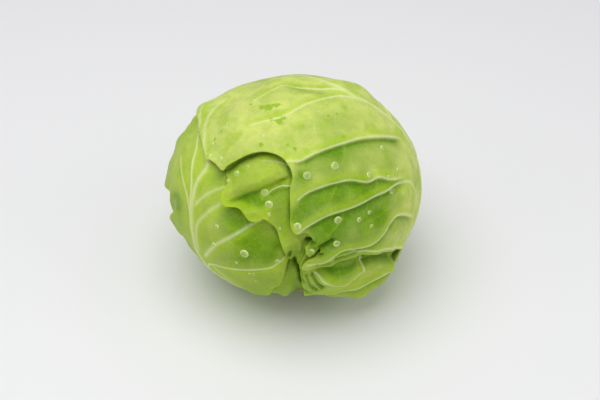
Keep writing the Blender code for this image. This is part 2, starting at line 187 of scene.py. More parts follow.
# Every leaf follows one slightly flattened ball, which leans back from upright and lies on a small flat
# spot. A place on it is the turn round the stalk's axis and the rise towards the top, in degrees.
HALF_WIDTH, HALF_HEIGHT, MEAN_RADIUS = 0.0890, 0.0780, 0.0850
LEAN, REST_CUT = math.radians(38), 0.0030
LOWEST = math.hypot(HALF_WIDTH * math.sin(LEAN), HALF_HEIGHT * math.cos(LEAN))
LOWEST_BACK = (HALF_WIDTH ** 2 - HALF_HEIGHT ** 2) * math.sin(LEAN) * math.cos(LEAN) / LOWEST
REST_DEPTH = LOWEST - REST_CUT
DOWN = np.array([0, math.sin(LEAN), -math.cos(LEAN)])
HEAD_MIDDLE = np.array([0, -LOWEST_BACK, REST_DEPTH])

# The relief that every leaf shares, each row a route, a height and a half width: swells and dents of the
# ball, then hollows and pleats, most of them in the gather low at the front.
SWELLS = [
    ([(45, 55), (60, 54)], 0.0042, 0.014),
    ([(-12, 66), (14, 65)], 0.0012, 0.012),
    ([(-60, 72), (-42, 54), (-50, 44)], -0.0030, 0.014),
    ([(-76, 38), (-68, 38)], 0.0048, 0.011),
    ([(80, -41), (78, -48), (74, -56)], 0.0100, 0.011),
    ([(69, -63), (58, -67)], 0.0030, 0.008),
    ([(-56, -66), (-30, -68)], 0.0022, 0.012),
    ([(-22, -4), (-12, -4)], -0.0022, 0.008),
    ([(-24, -14), (-16, -20)], -0.0030, 0.010),
    ([(8, -30), (20, -32)], -0.0030, 0.011),
    ([(0, -87), (180, -87)], -0.0030, 0.011),
]
HOLLOWS = [
    ([(32, -14), (38, -10), (46, -6), (54, 0)], -0.0010, 0.0022),
    ([(24, -35), (29, -31.5), (33, -29)], -0.0020, 0.0016),
    ([(45, -38.5), (51, -36.4), (62, -35.6), (79, -35.4)], -0.0040, 0.0022),
    ([(-4, 59), (8, 54), (20, 51)], -0.0012, 0.0040),
    ([(6, -23), (8.5, -24)], -0.0040, 0.0016),
    ([(13, -26.5), (17.5, -22.5)], -0.0040, 0.0016),
    ([(9, -31.5), (14, -31)], -0.0034, 0.0013),
    ([(-3, -30), (-3.5, -33)], -0.0040, 0.0015),
    ([(-0.5, -36), (0.5, -43)], -0.0040, 0.0016),
    ([(2, -42), (5, -51)], -0.0044, 0.0020),
    ([(18, -43), (27, -43.5), (35, -41.5), (42, -37)], -0.0036, 0.0046),
    ([(7, -45), (12, -53), (20, -59)], -0.0022, 0.0011),
    ([(11, -45), (16, -50.5), (25, -57)], -0.0022, 0.0011),
    ([(4, -53), (9, -60), (18, -65)], -0.0024, 0.0013),
]
PLEATS = [
    ([(5, -34), (2, -38), (6, -42)], 0.0016, 0.0018),
    ([(5, -42), (9, -48), (16, -58)], 0.0014, 0.0011),
    ([(8, -42), (14, -49), (24, -58)], 0.0014, 0.0011),
    ([(12, -43), (18, -47.5), (28, -54)], 0.0014, 0.0012),
    ([(8, -61), (23, -61), (44, -64)], 0.0012, 0.0018),
    ([(6, -28), (9, -29)], 0.0018, 0.0018),
    ([(16, -19), (18, -16), (21, -13)], 0.0010, 0.0012),
    ([(1, -22), (3, -26), (3, -30)], 0.0016, 0.0014),
    ([(10, -25), (12, -22), (15, -20)], 0.0014, 0.0013),
]
RELIEF = SWELLS + HOLLOWS + PLEATS

# Where the blade is sunk below a rib, each row the rib's route, the depth, and how far down it eases out.
STEPS = [
    ([(64, 22), (50, 23), (41, 23), (31, 22), (23, 20), (16, 18), (8, 15), (2, 12),
      (-3, 12)], 0.0028, 0.0070),
    ([(56, 5), (50, 4), (44, 4), (38, 5), (32, 3), (24, 4), (17, 3), (10, 1), (5, -1),
      (1, -4)], 0.0026, 0.0070),
    ([(58, 2.5), (51, 2), (43, -1), (36, -3), (29, -6), (23, -8), (16, -10), (11, -12), (4, -16),
      (1, -18)], 0.0032, 0.0070),
    ([(72, -14), (60, -12), (52, -12), (48, -15), (46, -19), (43, -23), (38, -26), (26, -28), (22, -32),
      (16, -36), (6, -36)], 0.0032, 0.0050),
    ([(-2, 7), (-9, 4), (-14, 1.5), (-18, 0), (-22, -1.5), (-30, -4.5)], 0.0040, 0.0050),
    ([(-1, 1), (-4, 1.5), (-7, 1), (-10, -0.5), (-12, -2)], 0.0016, 0.0030),
    ([(77, -36), (72, -43), (66, -51), (60, -58), (51, -65), (40, -71)], 0.0030, 0.0034),
]
STEP_EDGE, STEP_TAPER = 0.0024, 0.12
CURVE_SAMPLES, LINE_STEP, SWELL_STEP = 16, 0.003, 0.006
REST_BLEND, LEAST_SINK = 0.0008, 0.2


def heading(turn, rise):
    """Unit vector of a place on the head."""
    turn, rise = np.radians(turn), np.radians(rise)
    return np.stack([np.cos(rise) * np.sin(turn), -np.cos(rise) * np.cos(turn), np.sin(rise)], -1)


def curve(points, spacing, closed=False):
    """Smooth line over the head through a few places, with even steps. Extra columns follow along."""
    rows = np.array(points, float)
    keys = np.hstack([heading(rows[:, 0], rows[:, 1]), rows[:, 2:]])
    count = len(keys)
    share = np.linspace(0, 1, CURVE_SAMPLES, endpoint=False)[:, None]
    pieces = []
    for i in range(count if closed else count - 1):
        near = [(i + k) % count if closed else min(max(i + k, 0), count - 1) for k in (-1, 0, 1, 2)]
        a, b, c, d = keys[near]
        pieces.append(0.5 * (2 * b + (c - a) * share + (2 * a - 5 * b + 4 * c - d) * share ** 2
                             + (3 * b - a - 3 * c + d) * share ** 3))
    pieces.append(keys[:1] if closed else keys[-1:])
    line = np.vstack(pieces)
    line[:, :3] /= np.linalg.norm(line[:, :3], axis=1, keepdims=True)
    along = np.append(0, np.cumsum(np.linalg.norm(np.diff(line[:, :3], axis=0), axis=1))) * MEAN_RADIUS
    at = np.linspace(0, along[-1], max(2, round(along[-1] / spacing)) + 1)
    even = np.stack([np.interp(at, along, column) for column in line.T], -1)
    even[:, :3] /= np.linalg.norm(even[:, :3], axis=1, keepdims=True)
    return even[:-1] if closed else even


def reach(places, line, far=0.032):
    """Distance in metres from each place to a line over the head (1 beyond far), how far along the line
    that is, and on which hand: 1 to the left of it as seen from outside, -1 to the right."""
    away, along, hand = np.ones(len(places)), np.zeros(len(places)), np.ones(len(places))
    steps, block = len(line) - 1, 12
    for first in range(0, steps, block):
        part = line[first:first + block + 1, :3]
        middle = part.mean(0) / np.linalg.norm(part.mean(0))
        spread = math.acos(min(1, (part @ middle).min())) + far / MEAN_RADIUS
        near = np.flatnonzero(places @ middle > math.cos(min(spread, math.pi)))
        step = np.diff(part, axis=0)
        offset = places[near, None, :] - part[None, :-1]
        share = np.clip((offset * step).sum(-1) / (step ** 2).sum(-1), 0, 1)
        gap = ((offset - share[..., None] * step) ** 2).sum(-1)
        best = gap.argmin(1)
        pick = np.arange(len(near))
        length = np.sqrt(gap[pick, best]) * MEAN_RADIUS
        better = (length < away[near]) & (length < far)
        rows = near[better]
        away[rows] = length[better]
        along[rows] = (first + best + share[pick, best])[better] / steps
        turned = (np.cross(step[best], offset[pick, best]) * places[near]).sum(-1)
        hand[rows] = np.where(turned > 0, 1, -1)[better]
    return away, along, hand


def ridge(places, line, height, half_width):
    """Rounded ridge along a line."""
    return height * np.exp(-(reach(places, line)[0] / half_width) ** 2)


def rest_limit(places):
    """Distance to the plane that the head rests on, far away where a place looks upwards."""
    sink = places @ DOWN
    return np.where(sink > LEAST_SINK, REST_DEPTH / np.maximum(sink, LEAST_SINK), 1.0)


def smooth(value):
    """Eases from 0 to 1."""
    value = np.clip(value, 0, 1)
    return value * value * (3 - 2 * value)


def step(places, route, fall):
    """1 just below a rib, 0 on and above it, and easing back to 0 further down and at the rib's ends."""
    away, along, hand = reach(places, curve(route, LINE_STEP))
    ends = smooth(along / STEP_TAPER) * smooth((1 - along) / STEP_TAPER)
    return np.where(hand > 0, smooth(away / STEP_EDGE) * np.exp(-away / fall), 0) * ends


def surface(places):
    """Middle of the outermost blade, before ribs and curls, with the flat spot pressed in."""
    radius = 1 / np.linalg.norm(places / np.array([HALF_WIDTH, HALF_WIDTH, HALF_HEIGHT]), axis=1)
    for route, height, half_width in RELIEF:
        radius = radius + ridge(places, curve(route, SWELL_STEP), height, half_width)
    for route, depth, fall in STEPS:
        radius = radius - depth * step(places, route, fall)
    return -REST_BLEND * np.logaddexp(-radius / REST_BLEND, -rest_limit(places) / REST_BLEND)


def set_down(points):
    """From the upright head's own axes to the head as it leans on its flat spot."""
    x, y, z = np.asarray(points).T
    return np.stack([x, y * math.cos(LEAN) + z * math.sin(LEAN), z * math.cos(LEAN) - y * math.sin(LEAN)],
                    -1) + HEAD_MIDDLE


# Sizes of a leaf: its thickness and the room it takes, its margin's lift and waves, the puckers between
# ribs, a rib's cross-section and how it thins, the side veins, the widths and strengths of the tinted
# bands and of the painted shade in the hollows and creases, and how wide the finely meshed bands are.
BLADE, LAYER = 0.0011, 0.0028
MARGIN_REACH, LAYER_RAMP, CURL_WIDTH = 0.005, 0.010, 0.007
WAVE_LENGTH, LESSER_WAVE, LESSER_RATIO, LESSER_SHIFT, WAVY_LIFT = 0.017, 0.7, 1.7, 2, 0.001
QUILT, QUILT_WIDTH, QUILT_MARGIN, UNDER_COVER = 0.0008, 0.009, 0.012, 0.35
CREST_WIDTH, CREST_SHARE, BASE_WIDTH, BASE_SHARE = 0.32, 0.5, 1.1, 0.3
RIB_THINNING, LEAST_WIDTH, LEAST_PALENESS, PALE_WIDTH, PALENESS = 0.55, 0.55, 0.35, 0.30, 0.9
RIB_START, START_HEIGHT = 0.15, 0.15
BRANCH_HEIGHT, BRANCH_WIDTH, BRANCH_REACH, BRANCH_THINNING = 0.00012, 0.0007, 0.005, 0.8
BRANCH_EVERY, BRANCH_POINTS, BRANCH_LENGTHS = 5, 9, (0.009, 0.022)
BRANCH_LEANS, BRANCH_LEAN_START, BRANCH_SWAY, BRANCH_BENDS = (0.5, 1.1), 0.2, 0.25, 5
CREVICE_WIDTH, PANEL_WIDTH = 0.0017, 0.010
HOLLOW_FULL, HOLLOW_SPREAD, STEP_TINT, STEP_SPREAD = 0.0024, 1.15, 1.5, 0.75
LIME_AWAY, LIME_WIDTH, LIME_STRENGTH = 0.0030, 0.0018, 1.15
EDGE_WIDTH, EDGE_LIFT, EDGE_LEAST = 0.0014, 0.0016, 0.1
FINE_MARGIN, FINE_REACH, FINE_SWELL, MARGIN_GAP = 0.004, 0.010, 0.005, 0.6
FINE_RIB, FINE_CREASE, FINE_CREVICE = 1.1, 1.5, 1.2

# Lime-coloured bands (route, half width) and wet spots (turn, rise, radius in mm), both only tints. A wet
# spot fades over a length of WET_FADE for each mm of its radius.
LIME_BANDS = [([(-31, -3), (-29, -6), (-24, -8), (-20, -11.5), (-16, -12), (-12, -9.5)], 0.0036),
              ([(-31, 4), (-30.5, -2)], 0.0020), ([(22, -48), (30, -51), (38, -50.5)], 0.0026),
              ([(-30, -3), (-24, -6), (-17, -8)], 0.0022)]
WET_SPOTS = [(-19, 39, 2.2), (-15, 39, 2.8), (-11, 40.5, 1.8), (-12, 32, 1.4), (-8, 31, 2.4), (-6, 33, 1.8),
             (-28, 42, 1.2), (-3, 19, 1.3), (0, 17, 1.4), (18, 34, 1.3), (23, 35, 1.2), (-15, 19, 1.6),
             (23, 23, 1.6), (-9, 41, 1.2), (-40, 22, 1.2), (-38, 26, 1.2), (-35, 29, 1.0), (-25, 40, 1.1)]
WET_FADE = 0.002


def mound(places, line, half_width):
    """1 on a line and falling away on either side of it."""
    return np.exp(-(reach(places, line, 3 * half_width)[0] / half_width) ** 2)


def at_least(least, share):
    """A share from 0 to 1, drawn in so that it starts from the least value."""
    return least + (1 - least) * share


class Leaf:
    """One leaf: its outline (turn, rise, lift of the margin), ribs (route, height, half width, paleness),
    folds (route, height, half width), side veins, darker and paler places (turn, rise, spread, amount),
    partly the leaf's own tone and partly painted shade and painted sheen, the lines that it presses into
    the leaves beneath (route, depth, half width), which also carry painted shade on them, and its flat map."""

    def __init__(self, name, pitch, middle, outline, ribs, folds=(), wave=0.0006, tone_and_painted_light=(), press=()):
        self.name, self.pitch, self.wave, self.tone_and_painted_light = name, pitch, wave, tone_and_painted_light
        self.press = [(curve(route, LINE_STEP), depth, half_width) for route, depth, half_width in press]
        self.middle = heading(*middle)
        self.east = np.cross([0, 0, 1], self.middle)
        self.east /= np.linalg.norm(self.east)
        self.north = np.cross(self.middle, self.east)
        self.margin = curve(outline, pitch, closed=True)
        self.loop = np.vstack([self.margin, self.margin[:1]])
        self.coarse = curve(outline, LINE_STEP, closed=True)
        self.ribs = [(curve(route, LINE_STEP), height, half_width, paleness[0] if paleness else PALENESS)
                     for route, height, half_width, *paleness in ribs]
        self.folds = [(curve(route, LINE_STEP), height, half_width) for route, height, half_width in folds]
        self.branches = self.branch_out(random.Random(name))

    def branch_out(self, chance):
        """Fine veins that leave either side of each rib and bend towards its far end."""
        lines = []
        for line, _, _, _ in self.ribs:
            for k in range(BRANCH_EVERY - 1, len(line) - 2, BRANCH_EVERY):
                hand = 1 if (k // BRANCH_EVERY) % 2 else -1
                forward = line[k + 1, :3] - line[k, :3]
                forward /= np.linalg.norm(forward)
                across = np.cross(line[k, :3], forward) * hand
                length = chance.uniform(*BRANCH_LENGTHS) / MEAN_RADIUS
                lean, sway = chance.uniform(*BRANCH_LEANS), chance.uniform(-BRANCH_SWAY, BRANCH_SWAY)
                share = np.linspace(0, 1, BRANCH_POINTS)[:, None]
                bend = forward * lean * at_least(BRANCH_LEAN_START, share)
                bend = bend + across * sway * np.sin(BRANCH_BENDS * share)
                route = line[k, :3] + length * share * (across + bend)
                lines.append(route / np.linalg.norm(route, axis=1, keepdims=True))
        return lines

    def to_map(self, places):
        """Places on the head, as points of the map in which the leaf is laid flat, in metres."""
        angle = np.arccos(np.clip(places @ self.middle, -1, 1))
        flat = np.stack([places @ self.east, places @ self.north], -1)
        length = np.maximum(np.linalg.norm(flat, axis=1), 1e-9)
        return flat * (angle / length * MEAN_RADIUS)[:, None]

    def from_map(self, flat):
        """Points of the flat map, as places on the head."""
        angle = np.linalg.norm(flat, axis=1) / MEAN_RADIUS
        side = flat / np.maximum(np.linalg.norm(flat, axis=1), 1e-9)[:, None]
        tangent = side[:, :1] * self.east + side[:, 1:] * self.north
        return np.cos(angle)[:, None] * self.middle + np.sin(angle)[:, None] * tangent

    def inside(self, places, margin):
        """Signed distance to the margin in metres, positive on the leaf, and where along the margin."""
        loop = np.vstack([margin, margin[:1]])
        away, along, _ = reach(places, loop)
        flat, corners = self.to_map(places), self.to_map(loop[:, :3])
        odd = np.zeros(len(places), bool)
        for (x0, y0), (x1, y1) in zip(corners[:-1], corners[1:]):
            if y0 != y1:
                crosses = (y0 > flat[:, 1]) != (y1 > flat[:, 1])
                odd ^= crosses & (flat[:, 0] < x0 + (flat[:, 1] - y0) / (y1 - y0) * (x1 - x0))
        return np.where(odd, away, -away), along

    def cover(self, places):
        """1 where this leaf lies over what is under it, easing to 0 a little way past its margin."""
        signed, _ = self.inside(places, self.coarse)
        return smooth((signed + MARGIN_REACH + LAYER_RAMP) / LAYER_RAMP)

    def lift(self, along):
        """How far the margin is raised at a share of the way round it."""
        return np.interp(along * len(self.margin), np.arange(len(self.loop)), self.loop[:, 3])

    def curl(self, signed, along):
        """How far the margin lifts and waves, fading into the blade."""
        lift = self.lift(along)
        length = len(self.margin) * self.pitch
        turns = 2 * math.pi * along
        lesser = LESSER_WAVE * np.sin(round(length / WAVE_LENGTH / LESSER_RATIO) * turns + LESSER_SHIFT)
        waves = self.wave * (np.sin(round(length / WAVE_LENGTH) * turns) + lesser)
        return (lift + waves * np.clip(lift / WAVY_LIFT, 0, 1)) * np.exp(-np.maximum(signed, 0) / CURL_WIDTH)

    def veining(self, places, signed):
        """How far ribs, side veins and puckers stand out, and the masks that colour them."""
        raised, rib, vein, lime = (np.zeros(len(places)) for _ in range(4))
        nearest = np.ones(len(places))
        for line, height, half_width, paleness in self.ribs:
            away, share, hand = reach(places, line)
            thin = 1 - RIB_THINNING * share
            width = half_width * at_least(LEAST_WIDTH, thin)
            crest = CREST_SHARE * np.exp(-(away / (CREST_WIDTH * width)) ** 2)
            base = BASE_SHARE * np.exp(-(away / (BASE_WIDTH * width)) ** 2)
            start = at_least(START_HEIGHT, smooth(share / RIB_START))
            raised = np.maximum(raised, height * thin * start * (crest + base))
            pale = paleness * start * at_least(LEAST_PALENESS, thin)
            rib = np.maximum(rib, pale * np.exp(-(away / (PALE_WIDTH * width)) ** 2))
            lime = np.maximum(lime, (hand < 0) * np.exp(-((away - LIME_AWAY) / LIME_WIDTH) ** 2))
            nearest = np.minimum(nearest, away)
        for line in self.branches:
            away, share, _ = reach(places, line, BRANCH_REACH)
            vein = np.maximum(vein, (1 - BRANCH_THINNING * share) * np.exp(-(away / BRANCH_WIDTH) ** 2))
        for route, half_width in LIME_BANDS:
            lime = np.maximum(lime, LIME_STRENGTH * mound(places, curve(route, LINE_STEP), half_width))
        quilt = QUILT * (1 - np.exp(-(nearest / QUILT_WIDTH) ** 2)) * smooth(signed / QUILT_MARGIN)
        panel = 1 - np.exp(-(nearest / PANEL_WIDTH) ** 2)
        masks = {"rib": rib, "vein": vein, "lime": lime * (1 - rib), "panel": panel}
        return raised + BRANCH_HEIGHT * vein + quilt, masks

    def tints(self, places, signed, along, rib):
        """Masks of the darker and paler places (partly the leaf's own tone, partly painted shade and painted
        sheen), the painted shade in the hollows and below the ribs, the wet spots and the pale edge.
        """
        tone_and_painted_light, painted_hollow_shade, wet = (np.zeros(len(places)) for _ in range(3))
        # Darker and paler places: partly the leaf's own tone, partly painted shade in hollows and pockets,
        # and painted sheen and light paling the crown and the right side.
        for turn, rise, spread, amount in self.tone_and_painted_light:
            bend = np.degrees(np.arccos(np.clip(places @ heading(turn, rise), -1, 1)))
            tone_and_painted_light += amount * np.exp(-(bend / spread) ** 2)
        # Painted shade: the hollows of the relief and the blade just below each rib are tinted darker green.
        for route, depth, half_width in HOLLOWS:
            amount = min(1, -depth / HOLLOW_FULL)
            sunk = mound(places, curve(route, LINE_STEP), HOLLOW_SPREAD * half_width)
            painted_hollow_shade = np.maximum(painted_hollow_shade, amount * sunk)
        for route, _, fall in STEPS:
            painted_hollow_shade = np.maximum(painted_hollow_shade, STEP_TINT * step(places, route, STEP_SPREAD * fall))
        for turn, rise, radius in WET_SPOTS:
            bend = np.arccos(np.clip(places @ heading(turn, rise), -1, 1)) * MEAN_RADIUS
            wet = np.maximum(wet, 1 - bend / (WET_FADE * radius))
        edge = np.exp(-np.maximum(signed, 0) / EDGE_WIDTH)
        edge = edge * np.clip(self.lift(along) / EDGE_LIFT, EDGE_LEAST, 1)
        return {"tone_and_painted_light": tone_and_painted_light, "painted_hollow_shade": np.minimum(painted_hollow_shade, 1) * (1 - rib), "wet": wet, "edge": edge}

    def shape(self, places, over):
        """Outer and inner radius of the blade, and the masks that colour it."""
        covers = [leaf.cover(places) for leaf in over]
        free = np.prod([1 - c for c in covers], axis=0) if covers else np.ones(len(places))
        signed, along = self.inside(places, self.margin)
        middle = surface(places) - LAYER * sum(covers, np.zeros(len(places)))
        # Painted shade: a dark tint along each line that a leaf above presses into this one, under its
        # margin.
        painted_crevice_shade = np.zeros(len(places))
        for line, depth, half_width in [press for leaf in over for press in leaf.press]:
            middle = middle - depth * mound(places, line, half_width)
            painted_crevice_shade = np.maximum(painted_crevice_shade, mound(places, line, CREVICE_WIDTH))
        middle = middle + free * self.curl(signed, along)
        for line, height, half_width in self.folds:
            middle = middle + free * ridge(places, line, height, half_width)
        raised, masks = self.veining(places, signed)
        limit = rest_limit(places)
        outer = np.minimum(middle + BLADE / 2 + raised * at_least(UNDER_COVER, free), limit)
        inner = np.minimum(middle + BLADE / 2, limit) - BLADE
        return outer, inner, masks | self.tints(places, signed, along, masks["rib"]) | {"painted_crevice_shade": painted_crevice_shade}

    def lay_out(self, creases):
        """Points of the flat map: fine near the margin, ribs, veins, folds and the creases that the
        leaves above press in, and coarser between."""
        rim = self.to_map(self.margin[:, :3])
        low, high = rim.min(0), rim.max(0)
        rows, fine = [], []
        for k, y in enumerate(np.arange(low[1], high[1], self.pitch * math.sin(math.pi / 3))):
            x = np.arange(low[0] + (k % 2) * self.pitch / 2, high[0], self.pitch)
            rows.append(np.stack([x, np.full_like(x, y)], -1))
            fine.append((np.arange(len(x)) + k // 2) % 2 + k % 2 > 0)
        flat, fine = np.vstack(rows), np.concatenate(fine)
        places = self.from_map(flat)
        signed, _ = self.inside(places, self.margin)
        keep = signed > MARGIN_GAP * self.pitch
        flat, fine, places, signed = flat[keep], fine[keep], places[keep], signed[keep]
        needed = signed < FINE_MARGIN
        for line, _, half_width, _ in self.ribs:
            needed |= reach(places, line, FINE_REACH)[0] < FINE_RIB * half_width
        for line in self.branches:
            needed |= reach(places, line, BRANCH_REACH)[0] < FINE_CREASE * BRANCH_WIDTH
        for route, _, half_width in RELIEF:
            if half_width < FINE_SWELL:
                needed |= reach(places, curve(route, LINE_STEP), FINE_REACH)[0] < FINE_CREASE * half_width
        for route, _, _ in STEPS:
            needed |= reach(places, curve(route, LINE_STEP), FINE_REACH)[0] < FINE_CREASE * STEP_EDGE
        for line in creases:
            needed |= reach(places, line, FINE_REACH)[0] < FINE_CREVICE * CREVICE_WIDTH
        return rim, flat[needed | ~fine]

    def grow(self, over):
        """Lay out the mesh, raise both faces of the blade and close it round the margin."""
        rim, fill = self.lay_out([line for leaf in over for line, _, _ in leaf.press])
        flat = np.vstack([rim, fill])
        found = delaunay_2d_cdt([Vector(p) for p in flat], [], [list(range(len(rim)))], 1, 1e-7)
        places = self.from_map(np.array([tuple(p) for p in found[0]]))
        outer, inner, masks = self.shape(places, over)
        count = len(places)
        top = np.array(found[2])
        sides = np.vstack([top[:, [0, 1]], top[:, [1, 2]], top[:, [2, 0]]])
        codes = sides[:, 0] * count + sides[:, 1]
        rim_sides = sides[~np.isin(codes, sides[:, 1] * count + sides[:, 0])]
        a, b = rim_sides.T
        faces = np.vstack([top, top[:, ::-1] + count, np.stack([b, a, a + count], -1),
                           np.stack([b, a + count, b + count], -1)])
        verts = set_down(np.vstack([places * outer[:, None], places * inner[:, None]]))
        data = bpy.data.meshes.new(self.name)
        data.vertices.add(len(verts))
        data.vertices.foreach_set("co", verts.ravel())
        data.loops.add(faces.size)
        data.loops.foreach_set("vertex_index", faces.ravel())
        data.polygons.add(len(faces))
        data.polygons.foreach_set("loop_start", np.arange(0, faces.size, 3))
        data.update(calc_edges=True)
        data.validate()
        data.shade_smooth()
        for name, values in masks.items():
            layer = data.attributes.new(name, "FLOAT", "POINT")
            layer.data.foreach_set("value", np.tile(values, 2))
        thing = bpy.data.objects.new(self.name, data)
        bpy.context.collection.objects.link(thing)
        return thing


def finish_leaf(leaf, over, skin):
    """Grows a leaf under the ones over it and puts it in its node's place."""
    thing = leaf.grow(over)
    thing.data.materials.append(skin)
    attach(thing, "root")
    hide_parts(leaf.name.removesuffix("_blade"))


# The top leaf's pale colour: partly its own paler tone, partly painted sheen where the crown catches a
# glancing reflection.
PALE_AND_SHEEN = (0.67, 0.76, 0.19, 1)
over_top = Leaf(
    "leaf_over_top_blade", pitch=0.00095, middle=(60, 22),
    outline=[
        (-42, 13, 0.0010), (-38, 12, 0.0012), (-32, 8, 0.0016), (-29, 10, 0.0018), (-24, 13, 0.0020),
        (-19, 15, 0.0022), (-14, 16, 0.0024), (-9, 15, 0.0024), (-5, 13, 0.0022), (-2, 9, 0.0020),
        (-1, 5, 0.0018), (-2, 1, 0.0018), (-2, -4, 0.0020), (-2, -9, 0.0022), (-2, -14, 0.0022),
        (-1, -17, 0.0022), (1, -18.5, 0.0024), (4, -18, 0.0020), (7, -20, 0.0018), (8.5, -23, 0.0012),
        (6.5, -24.5, 0.0016), (5, -26, 0.0022), (5.5, -29, 0.0026), (8, -31, 0.0022), (10, -29.5, 0.0010),
        (12.5, -27.5, 0.0004), (13, -29, 0.0014), (12, -31.5, 0.0016), (9, -33, 0.0014),
        (5, -34.5, 0.0018), (3.5, -37, 0.0022), (8, -39, 0.0018), (14, -39.5, 0.0014), (20, -38.5, 0.0012),
        (26, -35.5, 0.0012), (34, -31.5, 0.0014), (46, -30.2, 0.0022), (60, -29.6, 0.0020),
        (72, -29, 0.0018), (81, -30, 0.0008), (87, -39, 0), (89, -50, 0), (91, -62, 0), (94, -72, 0),
        (102, -77, 0), (110, -72, 0), (114, -58, 0), (124, -38, 0.0006), (142, -24, 0.0008),
        (162, -12, 0.0008), (175, 5, 0.0008), (178, 26, 0.0008), (172, 48, 0.0008), (-170, 66, 0.0008),
        (-125, 62, 0.0008), (-92, 50, 0.0004), (-72, 38, 0.0001), (-57, 27, 0.0001), (-47, 19, 0.0003)],
    ribs=[
        ([(100, -74), (93, -52), (87, -32), (82, -16), (79, 3), (78, 12), (74, 22), (66, 32), (54, 42),
          (42, 47), (32, 57), (23, 69), (-30, 76)], 0.0016, 0.0085, 0.75),
        ([(84, 52), (83, 38), (84, 20), (84, 6), (80, -6), (76, -18)], 0.0008, 0.0034, 0.6),
        ([(45, 46), (33, 52), (19, 54), (3, 56.5), (-7, 59), (-13, 57), (-20, 52),
          (-27, 45)], 0.0009, 0.0028, 0.75),
        ([(50, 43), (38, 46), (29, 47), (14, 44), (6, 41), (-2, 36), (-8, 33),
          (-22, 29)], 0.0010, 0.0028, 0.8),
        (STEPS[0][0], 0.0012, 0.0025),
        (STEPS[1][0], 0.0009, 0.0021),
        (STEPS[2][0], 0.0011, 0.0023),
        ([(52, 2), (60, 2.5), (66, -1), (69, -5), (69, -11), (72, -14)], 0.0009, 0.0026, 0.75),
        (STEPS[3][0], 0.0014, 0.0028),
        ([(78, -28), (62, -28), (49, -28.4), (33, -29.5), (24, -34), (14, -38)], 0.0010, 0.0022),
        ([(-42, 12), (-48, 22), (-56, 34), (-60, 48)], 0.0004, 0.0056, 0.5),
        ([(-50, 16), (-58, 28), (-68, 40)], 0.0004, 0.0034, 0.5),
        ([(86, -30), (108, -22), (132, -8)], 0.0015, 0.0032),
        ([(79, -10), (104, 4), (134, 14), (160, 20)], 0.0015, 0.0032),
        ([(72, 8), (96, 26), (126, 36), (156, 40)], 0.0014, 0.0030),
        ([(62, 28), (86, 46), (122, 57), (165, 60)], 0.0012, 0.0028)],
    folds=[([(-1, 12), (12, 14), (24, 18)], 0.0010, 0.0070)],
    # Greener low at the front: partly its own tone, partly painted shade. Paler over the crown and the right
    # side: painted sheen and light. Small spots of both kinds.
    tone_and_painted_light=[(26, -6, 26, 0.75), (6, -8, 12, 0.35), (28, -34, 20, 0.35), (-10, 52, 40, -0.35),
          (72, -2, 15, -0.75), (68, -24, 9, -0.40), (80, 20, 24, -0.8), (36, 14, 11, -0.2),
          (13, 15.5, 3, 0.5), (19, 16.5, 4, 0.7), (4, -5, 3, 0.5), (1, -11, 3.5, 0.6), (17, 2, 3, 0.5),
          (28, 2.5, 4, 0.5), (33, -3, 3, 0.4), (14, -13, 3, 0.4), (41, -14, 4, 0.5), (8, -20, 3, 0.5),
          (3, 6, 3, 0.6), (46, 10, 4, 0.3), (26, 9, 3, -0.3), (14, -8, 3.5, -0.35), (36, 7, 3, -0.3),
          (26, -18, 3, -0.4), (9, 6, 3, -0.3), (53, -20, 4, -0.5), (24, -2, 2.5, -0.3)],
    press=[([(-38, 12), (-32, 8), (-24, 13), (-14, 16), (-5, 13), (-1.5, 5), (-2, -9), (-1, -17)],
            0.0011, 0.0034),
           ([(12, -41.5), (20, -41), (27, -38.5), (36, -35.5), (46, -35.4), (60, -34), (72, -33.4),
             (80, -34.5)], 0.0012, 0.0034)])
pale_skin = leaf_skin("outer_leaf_pale", PALE_AND_SHEEN, GREEN, RIB, 0.45)
finish_leaf(over_top, [], pale_skin)


# The low right leaf: pleated where it was pressed against the ground, its folds fanned from the gather
# low at the front out to the right.
low_right = Leaf(
    "leaf_low_right_blade", pitch=0.0009, middle=(62, -52), wave=0.0005,
    outline=[
        (3, -36, 0.0012), (10, -29, 0), (28, -26, 0), (50, -25, 0), (68, -23, 0), (82, -27, 0),
        (79, -33, 0.0004), (80, -37, 0.0010), (79, -44, 0.0014), (76, -52, 0.0016), (71, -60, 0.0016),
        (64, -67, 0.0014), (54, -73, 0.0008), (38, -77, 0.0004), (20, -76, 0.0006), (8, -60, 0.0014),
        (4, -49, 0.0016), (3, -42, 0.0014)],
    ribs=[
        ([(41, -33), (44, -37), (47, -42), (49, -50), (43, -53.5), (32, -53), (22, -49), (13, -44)],
         0.0010, 0.0026, 0.8),
        (STEPS[6][0], 0.0010, 0.0024, 0.8)],
    folds=[([(46, -42), (56, -40), (66, -39.5), (73, -39.5)], 0.0016, 0.0024),
           ([(20, -48), (30, -52), (44, -54)], 0.0020, 0.0040)],
    tone_and_painted_light=[(34, -44, 14, 0.5), (64, -46, 14, -0.65), (40, -62, 12, -0.2)],
    press=[([(80, -42), (77, -52), (72, -60), (65, -67)], 0.0014, 0.0034)])
UNDER_PALE = (0.48, 0.61, 0.08, 1)
green_skin = leaf_skin("outer_leaf_green", UNDER_PALE, GREEN, RIB, 0.47)
finish_leaf(low_right, [over_top], green_skin)


